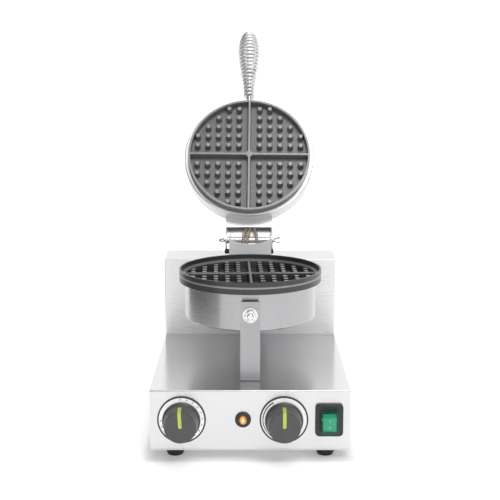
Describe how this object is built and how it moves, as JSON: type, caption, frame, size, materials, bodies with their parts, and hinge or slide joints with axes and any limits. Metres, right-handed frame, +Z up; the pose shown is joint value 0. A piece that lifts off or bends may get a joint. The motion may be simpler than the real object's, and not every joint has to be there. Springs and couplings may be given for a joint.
{
  "type": "round waffle maker",
  "caption": "Countertop round waffle iron: a steel case on rubber feet, a fixed lower iron and a hinged lid iron with a coil spring handle, a timer and a thermostat knob.",
  "frame": {"origin": "middle of the footprint of the whole part with its lid open, at the underside of the rubber feet", "axes": "+Z up, +Y from the control panel to the rear, +X to the right as seen from the front"},
  "size_m": [0.25, 0.4958, 0.5286],
  "materials": {
    "stainless": "brushed, fine horizontal grain",
    "bright_steel": "nickel bright",
    "zinc_steel": "zinc plated",
    "dark_iron": "dark non-stick, satin",
    "grey_iron": "grey non-stick, satin",
    "heater_sheath": "heat-tinted",
    "mineral_felt": "felted, matte",
    "black_rubber": "matte",
    "black_plastic": "fine grain",
    "knob_plastic": "satin",
    "lime_inlay": "gloss",
    "dial_white": "printed, satin",
    "dial_grey": "printed, satin",
    "amber_lens": "frosted",
    "green_rocker": "gloss, translucent",
    "clear_green": "soft clear",
    "ceramic_body": "matte",
    "black_sleeve": "gloss",
    "copper_tube": "drawn copper",
    "braid": "braided"
  },
  "bodies": {
    "base": {"base_shell": "stainless", "bottom_plate": "stainless", "rear_housing": "stainless", "rear_cover": "stainless", "case_screws": "zinc_steel", "rubber_feet": "black_rubber", "foot_screws": "zinc_steel", "front_support": "stainless", "front_support_bolt": "bright_steel", "front_support_nut": "bright_steel", "front_support_washer": "bright_steel", "front_support_spacer": "zinc_steel", "bracket_screws": "zinc_steel", "lower_drum": "stainless", "lower_plate": "dark_iron", "lower_heater": "heater_sheath", "lower_heater_clamp": "zinc_steel", "lower_clamp_screws": "zinc_steel", "lower_insulation": "mineral_felt", "lower_tie_bolt": "zinc_steel", "thermostat_probe": "copper_tube", "hinge_base_bracket": "stainless", "drum_rear_screws": "zinc_steel", "hinge_sleeve": "bright_steel", "hinge_split_pin": "bright_steel", "stop_rod": "bright_steel", "stop_sleeves": "black_sleeve", "hinge_conduits": "braid", "timer_body": "black_plastic", "timer_dial": "dial_white", "thermostat_body": "ceramic_body", "thermostat_dial": "dial_grey", "pilot_lamp_bezel": "black_plastic", "pilot_lamp_lens": "amber_lens", "switch_housing": "black_plastic", "switch_boot": "clear_green", "terminal_block": "ceramic_body", "cable_gland": "black_plastic"},
    "lid": {"lid_drum": "stainless", "lid_cover": "stainless", "lid_plate": "grey_iron", "lid_heater": "heater_sheath", "lid_heater_clamp": "zinc_steel", "lid_clamp_screws": "zinc_steel", "lid_insulation": "mineral_felt", "lid_tie_bolt": "zinc_steel", "lid_bracket": "stainless", "lid_bracket_screws": "zinc_steel", "handle_collar": "bright_steel", "handle_rod": "bright_steel", "handle_nut": "bright_steel", "handle_coil": "bright_steel"},
    "timer": {"timer_knob": "knob_plastic", "timer_pointer": "lime_inlay", "timer_shaft": "zinc_steel"},
    "thermostat": {"thermostat_knob": "knob_plastic", "thermostat_pointer": "lime_inlay", "thermostat_shaft": "zinc_steel"},
    "rocker": {"switch_rocker": "green_rocker"}
  },
  "joints": [
    {"name": "lid_hinge", "type": "hinge", "parent": "base", "child": "lid", "pos_m": [0, 0.04546, 0.2311], "axis": [1, 0, 0], "range_deg": [0, 122.7], "deforming": ["hinge_conduits"]},
    {"name": "timer_turn", "type": "hinge", "parent": "base", "child": "timer", "pos_m": [-0.0855, -0.21613, 0.0518], "axis": [0, 1, 0], "range_deg": [0, 300]},
    {"name": "thermostat_turn", "type": "hinge", "parent": "base", "child": "thermostat", "pos_m": [0.042, -0.21613, 0.0518], "axis": [0, 1, 0], "range_deg": [0, 270]},
    {"name": "switch_rock", "type": "hinge", "parent": "base", "child": "rocker", "pos_m": [0.0983, -0.21713, 0.0517], "axis": [-1, 0, 0], "range_deg": [0, 16]}
  ]
}
